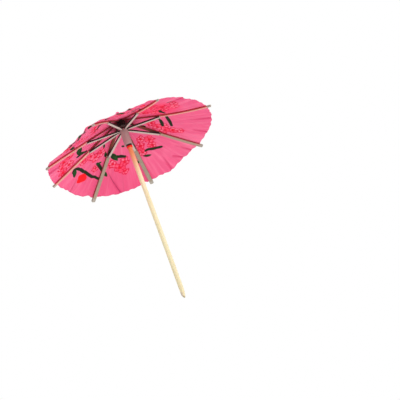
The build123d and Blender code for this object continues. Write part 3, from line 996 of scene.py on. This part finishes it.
# %% [markdown]
# ## Runner
#
# The runner is a strip of card rolled into a tube, with the outer end of the strip lapped over. Two plies are spun
# round the pick from their cut profiles: the inner one all the way, the outer one most of the way, so that its end
# stands as a small step along the tube, as the lap does.

# %% Helpers for spun pieces
def profile(name, inner, outer, low, high, bends):
    """A flat wall profile standing beside the axis, cut across so that it can bend."""
    middle = ((inner + outer) / 2, 0, (low + high) / 2)
    piece = start(
        name, bpy.ops.mesh.primitive_plane_add, (outer - inner, high - low, 1), (pi / 2, 0, 0), middle, size=1.0
    )
    pick_out(piece, "edges", lambda m, e: run(e, 2) > 0.5)
    bpy.ops.mesh.subdivide(number_cuts=bends)
    bpy.ops.mesh.select_all(action="SELECT")
    return piece


def spin_closed(piece, steps, low, high):
    """Spins a profile all the way round. Its own faces and the rungs between them would stay inside, so they go."""
    bpy.ops.mesh.delete(type="ONLY_FACE")
    pick_out(piece, "edges", lambda m, e: run(e, 2) < 0.001 and low + 0.01 < m.z < high - 0.01)
    bpy.ops.mesh.delete(type="EDGE")
    bpy.ops.mesh.select_all(action="SELECT")
    bpy.ops.mesh.spin(steps=steps, angle=2 * pi, center=(0, 0, 0), axis=(0, 0, 1))
    bpy.ops.mesh.select_all(action="SELECT")
    bpy.ops.mesh.remove_doubles(threshold=0.002)


print("spin helpers ready")

# %% Model the runner
RUNNER_BORE, RUNNER_RADIUS, RUNNER_FOOT, RUNNER_TOP = 1.55, 1.90, 74.9945, 83.3945
LAP_FOOT, LAP_TOP, LAP_TURN, LAP_END = 0.04, 0.05, radians(318), radians(-60)
middle_wall = (RUNNER_BORE + RUNNER_RADIUS) / 2
inner_ply = profile("runner_inner_ply", RUNNER_BORE, middle_wall, RUNNER_FOOT, RUNNER_TOP, 8)
spin_closed(inner_ply, 64, RUNNER_FOOT, RUNNER_TOP)
done()
runner = profile("rolled_runner", middle_wall, RUNNER_RADIUS, RUNNER_FOOT + LAP_FOOT, RUNNER_TOP - LAP_TOP, 8)
bpy.ops.mesh.spin(steps=56, angle=LAP_TURN, center=(0, 0, 0), axis=(0, 0, 1))
done()
only(runner)
inner_ply.select_set(True)
bpy.ops.object.join()
break_edges(runner, 0.035, 2, 50)
keep_places(runner)
put(runner, IN_METRES @ Matrix.Rotation(LAP_END, 4, "Z"))
print("runner:", len(runner.data.polygons), "faces")

# %% [markdown]
# ## Card finish
#
# Grey board is pressed from waste paper: short fibres of many shades lie in all directions, and the rolled or punched
# faces are a little polished. The same effect serves ribs, struts, runner and collar, so it is a node group with its
# place and two colours as inputs. The upright cut edges and the ribs' inner ends are painted dark as painted shade,
# and some ribs took up much more dye than others, while their bare tips stayed grey. These colours are mixed over the
# group's colour.

# %% Card fibres
def group(name, inputs, outputs):
    """A node group with its sockets, and the nodes inside it that bring in and give out."""
    made = bpy.data.node_groups.new(name, "ShaderNodeTree")
    for way, sockets in (("INPUT", inputs), ("OUTPUT", outputs)):
        for label, kind in sockets.items():
            made.interface.new_socket(label, in_out=way, socket_type=f"NodeSocket{kind}")
    return made, made.nodes.new("NodeGroupInput").outputs, made.nodes.new("NodeGroupOutput")


def scaled(tree, place, scale):
    """A place drawn out or drawn together along X, Y and Z."""
    return feed(tree, node(tree, "ShaderNodeMapping"), {"Vector": place, "Scale": scale}).outputs[0]


WASTE_BROWN = (0.10, 0.07, 0.05, 1)
card_fibres, given, gives = group(
    "card_fibres",
    {"Place": "Vector", "Face": "Color", "Fleck": "Color"},
    {"Color": "Color", "Roughness": "Float", "Height": "Float"},
)
fibre = grain(card_fibres, scaled(card_fibres, given["Place"], (0.22, 1.0, 1.0)), 5.5, 5.0, 0.62)
fleck = grain(card_fibres, given["Place"], 2.4, 4.0, 0.6)
flecks = [
    (step(card_fibres, fibre, 0.34, 0.66), given["Fleck"]),
    (step(card_fibres, fleck, 0.60, 0.72, 0.0, 0.4), WASTE_BROWN),
    (step(card_fibres, fleck, 0.36, 0.28, 0.0, 0.35), given["Fleck"]),
]
feed(card_fibres, gives, {
    "Color": layered(card_fibres, given["Face"], flecks),
    "Roughness": step(card_fibres, fibre, 0.3, 0.7, 0.72, 0.92),
    "Height": sums(card_fibres, "ADD", fibre, times(card_fibres, fleck, 0.6)),
})
print("card fibres:", len(card_fibres.nodes), "nodes")

# %% Card finish
# The second colour here is the painted shade of a dyed rib's upright edges.
DYED_FACE, DYED_EDGE_SHADE, BARE_BOARD = (0.80, 0.36, 0.29, 1), (0.50, 0.025, 0.045, 1), (0.34, 0.32, 0.27, 1)
BARE_TIP_START, BARE_TIP_FULL = RIB_LENGTH - 2.3, RIB_LENGTH - 1.3


def own_place(tree):
    """A piece's places in its own frame, in metres."""
    return node(tree, "ShaderNodeTexCoord").outputs["Object"]


def parts(tree, place):
    """The X, Y and Z of a place."""
    return feed(tree, node(tree, "ShaderNodeSeparateXYZ"), {0: place}).outputs


def card_finish(name, face, fleck, strip=True, edge=None, painted_shades=()):
    """Grey board in two shades. A strip has its own places kept, and a solid reads its object's. edge is the colour
    painted as shade on the upright cut edges, and the last argument a row of darker colours painted as shade towards a
    rib's inner end, each with where it starts and where it is full."""
    made, tree, surface = new_finish(name)
    place = attribute(tree, "strip", "Vector") if strip else scaled(tree, own_place(tree), (1000, 1000, 1000))
    board = node(tree, "ShaderNodeGroup", node_tree=card_fibres)
    board = feed(tree, board, {"Place": place, "Face": face, "Fleck": fleck}).outputs
    layers = []
    if painted_shades:
        along, dyed = parts(tree, place)[0], attribute(tree, "dyed")
        layers += [(dyed, DYED_FACE)]
        layers += [(step(tree, along, starts, full, 0.0, 0.92), dark) for dark, starts, full in painted_shades]
        edge = blend_colour(tree, dyed, edge, DYED_EDGE_SHADE)
    if edge is not None:
        layers += [(times(tree, attribute(tree, "cut_edge"), 0.95), edge)]
    if painted_shades:
        layers += [(step(tree, along, BARE_TIP_START, BARE_TIP_FULL, 0.0, 0.85), BARE_BOARD)]
    feed(tree, surface, {
        "Base Color": layered(tree, board["Color"], layers),
        "Roughness": board["Roughness"],
        "Normal": bumps(tree, board["Height"], 0.5, 0.00006),
        "Specular IOR Level": 0.3,
    })
    return made


print("card finish ready")

# %% Card on its pieces
# Painted shade along a rib: black just inside the strut joint, red-brown further in, black near the collar.
RIB_PAINTED_SHADES = (
    ((0.030, 0.010, 0.007, 1), STRUT_JOINT + 0.6, STRUT_JOINT - 0.4),
    ((0.235, 0.058, 0.034, 1), STRUT_JOINT - 2.0, STRUT_JOINT - 6.0),
    ((0.016, 0.004, 0.004, 1), 8.5, 4.0),
)
DYE_SHARES = (0.75, 0.75, 0.05, 0.0, 0.15, 0.75, 0.85, 0.60)
# The edge colours are painted shade on the upright sides of ribs and struts.
RIB_EDGE_SHADE, STRUT_EDGE_SHADE = (0.300, 0.022, 0.026, 1), (0.012, 0.004, 0.003, 1)
rib_card = card_finish(
    "olive_grey_board", (0.245, 0.192, 0.136, 1), (0.318, 0.258, 0.190, 1), edge=RIB_EDGE_SHADE, painted_shades=RIB_PAINTED_SHADES
)
strut_card = card_finish(
    "pale_grey_board", (0.430, 0.340, 0.295, 1), (0.530, 0.430, 0.380, 1), edge=STRUT_EDGE_SHADE
)
runner_card = card_finish("rolled_grey_board", (0.420, 0.315, 0.295, 1), (0.510, 0.400, 0.375, 1))
# Collar and newsprint are painted near black as painted shade round the apex.
collar_shade_card = card_finish("collar_board_in_painted_shade", (0.018, 0.007, 0.006, 1), (0.030, 0.014, 0.011, 1), False)
newsprint = card_finish("rolled_newsprint_in_painted_shade", (0.110, 0.085, 0.075, 1), (0.190, 0.160, 0.140, 1), False)
for piece, share in zip(ribs, DYE_SHARES):
    keep_values(piece.data, "dyed", np.full(len(piece.data.vertices), share))
wear(rib_card, *ribs)
wear(strut_card, *struts)
wear(runner_card, runner)
wear(collar_shade_card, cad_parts["collar"])
wear(newsprint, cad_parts["newsprint_spacer"])
print("card finishes on", len(ribs) + len(struts) + 3, "pieces")

# %% [markdown]
# ## Retaining ring
#
# A slice of red plastic tubing grips the pick and keeps the runner from sliding down. Its profile is spun round the
# pick, its edges are rolled over, and its lower end is pinched in a little, as a cut slice of soft tubing is. The band
# just below the runner's mouth and inside it is painted dark, as painted shade under the runner.

# %% Model the retaining ring
RING_BORE, RING_RADIUS, RING_FOOT, RING_TOP, RING_PINCH = 1.05, 1.42, 73.3945, 76.5945, 0.95
ring = profile("plastic_ring", RING_BORE, RING_RADIUS, RING_FOOT, RING_TOP, 6)
spin_closed(ring, 56, RING_FOOT, RING_TOP)
pick_out(ring, "verts", lambda m, v: m.z < RING_FOOT + 0.01 and m.xy.length > RING_BORE + 0.05)
bpy.ops.transform.resize(value=(RING_PINCH, RING_PINCH, 1), center_override=(0, 0, RING_FOOT))
done()
break_edges(ring, 0.09, 3, 45)
put(ring, IN_METRES)
print("ring:", len(ring.data.polygons), "faces")

# %% Plastic finish
# The third colour is painted shade under the runner's mouth.
RED, DARK_RED, RING_TOP_SHADE = (0.90, 0.018, 0.008, 1), (0.78, 0.008, 0.006, 1), (0.020, 0.004, 0.003, 1)
red_tubing, tree, surface = new_finish("red_tubing")
place = own_place(tree)
cloudy = grain(tree, place, 420.0, 3.0)
# Painted shade: a dark band where the ring goes into the runner.
painted_shade_band = step(tree, parts(tree, place)[2], (RUNNER_FOOT - 0.95) * MM, (RUNNER_FOOT - 0.65) * MM)
feed(tree, surface, {
    "Base Color": layered(tree, RED, [(step(tree, cloudy, 0.35, 0.7), DARK_RED), (painted_shade_band, RING_TOP_SHADE)]),
    "Roughness": step(tree, cloudy, 0.3, 0.7, 0.22, 0.38),
    "Subsurface Weight": 0.15,
    "Subsurface Radius": (0.0012, 0.0003, 0.0002),
    "Subsurface Scale": 1.0,
})
wear(red_tubing, ring)
print("plastic finish on", ring.name)

# %% [markdown]
# ## Pick
#
# The pick is a round stick of pale birch or bamboo, turned and then pointed at both ends by a cutter. A cylinder is
# pulled out at its two ends in steps, each step scaled to the stick's width there. The lower point is short and cut
# askew, so its steps lean to one side. Long fibres show in the wood, so its finish is a noise drawn out along the
# stick. Red-orange is painted up the stick to the ring as painted reflected light and shade from the pink paper, the
# wood from inside the runner up is painted dark as painted shade, the slanted cut is greyer on one side and the very
# tip is brown.

# %% Model the pick, each step with its height, radius and sideways lean
SHANK, SHANK_TOP, GUIDE = 1.10, 45.0, 1.05
TOP_STEPS = ((46.0, GUIDE, 0.0), (86.967, GUIDE, 0.0), (92.967, 0.28, 0.0))
FOOT_STEPS = (
    (-1.5, 1.07, -0.01), (-3.2, 0.99, -0.08), (-4.6, 0.85, -0.16), (-5.4, 0.57, -0.08), (-6.0, 0.28, 0.06)
)
pick = start(
    "wooden_pick", bpy.ops.mesh.primitive_cylinder_add, place=(0, 0, SHANK_TOP / 2),
    vertices=40, radius=SHANK, depth=SHANK_TOP,
)
for end, steps in ((SHANK_TOP, TOP_STEPS), (0.0, FOOT_STEPS)):
    from_z, from_radius, from_x = end, SHANK, 0.0
    for z, radius, x in steps:
        pick_out(pick, "faces", lambda m, f: abs(m.z - from_z) < 0.01 and abs(f.normal.z) > 0.9)
        bpy.ops.mesh.extrude_region_move(TRANSFORM_OT_translate={"value": (x - from_x, 0, z - from_z)})
        share = radius / from_radius
        bpy.ops.transform.resize(value=(share, share, 1), center_override=(x, 0, z))
        from_z, from_radius, from_x = z, radius, x
pick_out(pick, "edges", lambda m, e: run(e, 2) > 20)
bpy.ops.mesh.subdivide(number_cuts=24)
bpy.ops.mesh.select_all(action="SELECT")
bpy.ops.transform.vertex_random(offset=0.014, uniform=1.0, normal=0.0, seed=5)
done()
break_edges(pick, 0.05, 2, 35)
put(pick, IN_METRES)
print("pick:", len(pick.data.polygons), "faces")

# %% Wood finish
WOOD, PALE_WOOD = (0.850, 0.760, 0.440, 1), (0.910, 0.850, 0.560, 1)
BROAD_GRAIN, DARK_GRAIN = (0.820, 0.700, 0.380, 1), (0.680, 0.520, 0.270, 1)
# The first two colours are painted light: red-orange reflected light from the paper, and deep shade under it.
PAINTED_RED_REFLECTION, PAINTED_DEEP_SHADE = (0.800, 0.230, 0.060, 1), (0.030, 0.010, 0.008, 1)
FOOT_GREY, BROWN_TIP = (0.540, 0.450, 0.430, 1), (0.360, 0.310, 0.190, 1)
stick_wood, tree, surface = new_finish("pale_stick_wood")
place = own_place(tree)
along = scaled(tree, place, (1000, 1000, 38))
fibre = grain(tree, along, 2.1, 5.0, 0.6)
sideways, _, height = parts(tree, place)
# The slanted cut is greyer on one side.
grey_side = step(tree, height, -2.6 * MM, -4.2 * MM, 0.0, 0.60)
grey_side = times(tree, grey_side, step(tree, sideways, 0.3 * MM, -0.6 * MM))
stains = [
    (step(tree, fibre, 0.36, 0.66), PALE_WOOD),
    (step(tree, grain(tree, along, 0.55, 3.0), 0.55, 0.75, 0.0, 0.6), BROAD_GRAIN),
    (step(tree, fibre, 0.33, 0.24, 0.0, 0.55), DARK_GRAIN),
    # Painted red-orange reflected light and shade from the paper, strongest at the ring.
    (step(tree, height, 55 * MM, 74 * MM, 0.0, 0.92), PAINTED_RED_REFLECTION),
    # Painted shade on the wood from inside the runner up.
    (step(tree, height, 78 * MM, 80 * MM, 0.0, 0.95), PAINTED_DEEP_SHADE),
    (grey_side, FOOT_GREY),
    (step(tree, height, -4.9 * MM, -5.8 * MM, 0.0, 0.75), BROWN_TIP),
]
feed(tree, surface, {
    "Base Color": layered(tree, WOOD, stains),
    "Roughness": step(tree, fibre, 0.3, 0.7, 0.50, 0.68),
    "Normal": bumps(tree, fibre, 0.4, 0.00008),
})
wear(stick_wood, pick)
print("wood finish on", pick.name)

# %% [markdown]
# ## Finial
#
# On top, a scrap of the same tissue is twisted round the pick's end. It starts as a ring whose every other point is
# drawn in, which gives the gathers, and is pulled up in steps, each one scaled and turned a little further, so that
# the gathers wind round. The top is pushed in where the twist ends.

# %% Model the finial, each step with its rise and radius
FINIAL_SEAT, FINIAL_RADIUS, GATHERS, GATHER_DEPTH, TWIST = 88.817, 1.28, 11, 0.80, radians(13)
TWIST_STEPS = (
    (0.25, 1.12), (0.9, 0.93), (1.5, 0.98), (2.3, 1.10), (3.1, 1.13), (3.8, 1.00), (4.35, 0.70), (4.55, 0.42)
)
finial = start(
    "paper_twist", bpy.ops.mesh.primitive_circle_add, place=(0, 0, FINIAL_SEAT),
    vertices=2 * GATHERS, radius=FINIAL_RADIUS, fill_type="NGON",
)
pick_out(finial, "verts", lambda m, v: round(atan2(m.y, m.x) / (pi / GATHERS)) % 2 == 1)
bpy.ops.transform.resize(value=(GATHER_DEPTH, GATHER_DEPTH, 1), center_override=(0, 0, FINIAL_SEAT))
height, width = FINIAL_SEAT, FINIAL_RADIUS
for rise, radius in TWIST_STEPS:
    top = FINIAL_SEAT + rise
    pick_out(finial, "faces", lambda m, f: abs(m.z - height) < 0.01 and len(f.verts) > 4)
    bpy.ops.mesh.extrude_region_move(TRANSFORM_OT_translate={"value": (0, 0, top - height)})
    bpy.ops.transform.resize(value=(radius / width, radius / width, 1), center_override=(0, 0, top))
    bpy.ops.transform.rotate(value=TWIST, orient_axis="Z", center_override=(0, 0, top))
    height, width = top, radius
pick_out(finial, "faces", lambda m, f: abs(m.z - height) < 0.01 and len(f.verts) > 4)
bpy.ops.mesh.inset(thickness=0.14, depth=-0.25)
done()
finish_with(finial, "SUBSURF", levels=2, render_levels=2)
put(finial, IN_METRES)
finial_top = max(v.co.z for v in finial.data.vertices) / MM
print("finial:", len(finial.data.polygons), "faces, top at", round(finial_top, 2), "mm")

# %% Finial finish
twisted_tissue, tree, surface = new_finish("twisted_tissue")
wrinkle = grain(tree, scaled(tree, own_place(tree), (1000, 1000, 300)), 1.6, 4.0)
wrinkles = [(step(tree, wrinkle, 0.35, 0.65), PINK), (step(tree, wrinkle, 0.60, 0.75), PALE_PINK)]
feed(tree, surface, {
    "Base Color": layered(tree, DEEP_PINK, wrinkles),
    "Roughness": step(tree, wrinkle, 0.3, 0.7, 0.70, 0.88),
    "Normal": bumps(tree, wrinkle, 0.6, 0.00015),
})
wear(twisted_tissue, finial)
print("tissue finish on", finial.name)

# %% [markdown]
# ## Riding the bodies
#
# Every piece follows the body that carries it on the real umbrella. The paper of each gore is glued to its rib, so it
# rides that rib. The middle stays on the stem. A gore's flat size is worked out as its share of the disc, with an
# allowance for the pleats.

# %% Ride and replace
def carry(piece, body, slot, *nodes):
    """Lets a piece ride a body in place of the construction model's nodes."""
    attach(piece, body)
    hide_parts(*nodes)


carry(pick, "stem", "pale_wood", "pick")
carry(ring, "stem", "red_plastic", "retaining_ring")
carry(finial, "stem", "finial_paper", "finial")
carry(runner, "runner", "runner_card", "runner")
for number in range(1, 9):
    carry(ribs[number - 1], f"rib_{number}", "rib_card", f"rib_{number}")
    carry(struts[number - 1], f"strut_{number}", "strut_card", f"strut_{number}")
carry(middle_paper, "stem", "canopy_paper", "canopy")
for number, gore, _ in gores:
    carry(gore, f"rib_{number}", "canopy_paper", "canopy")

FOLDED_SHARE, PLEAT_ALLOWANCE = 0.36, 1.04
for number, gore, span in gores:
    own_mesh(gore)
    width = 2 * RIM_RADIUS * sin(radians(span) / 2) * PLEAT_ALLOWANCE * MM

# %% [markdown]
# ## Size
#
# The dressed umbrella has to keep the size of the construction model. Both boxes are printed.

# %% Size
seen_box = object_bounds()
boxes = {"cad": [list(corner) for corner in cad_box], "visual": [list(corner) for corner in seen_box]}
for name, (low, high) in boxes.items():
    print(name, "box", [round((h - l) / MM, 2) for l, h in zip(low, high)], "mm")
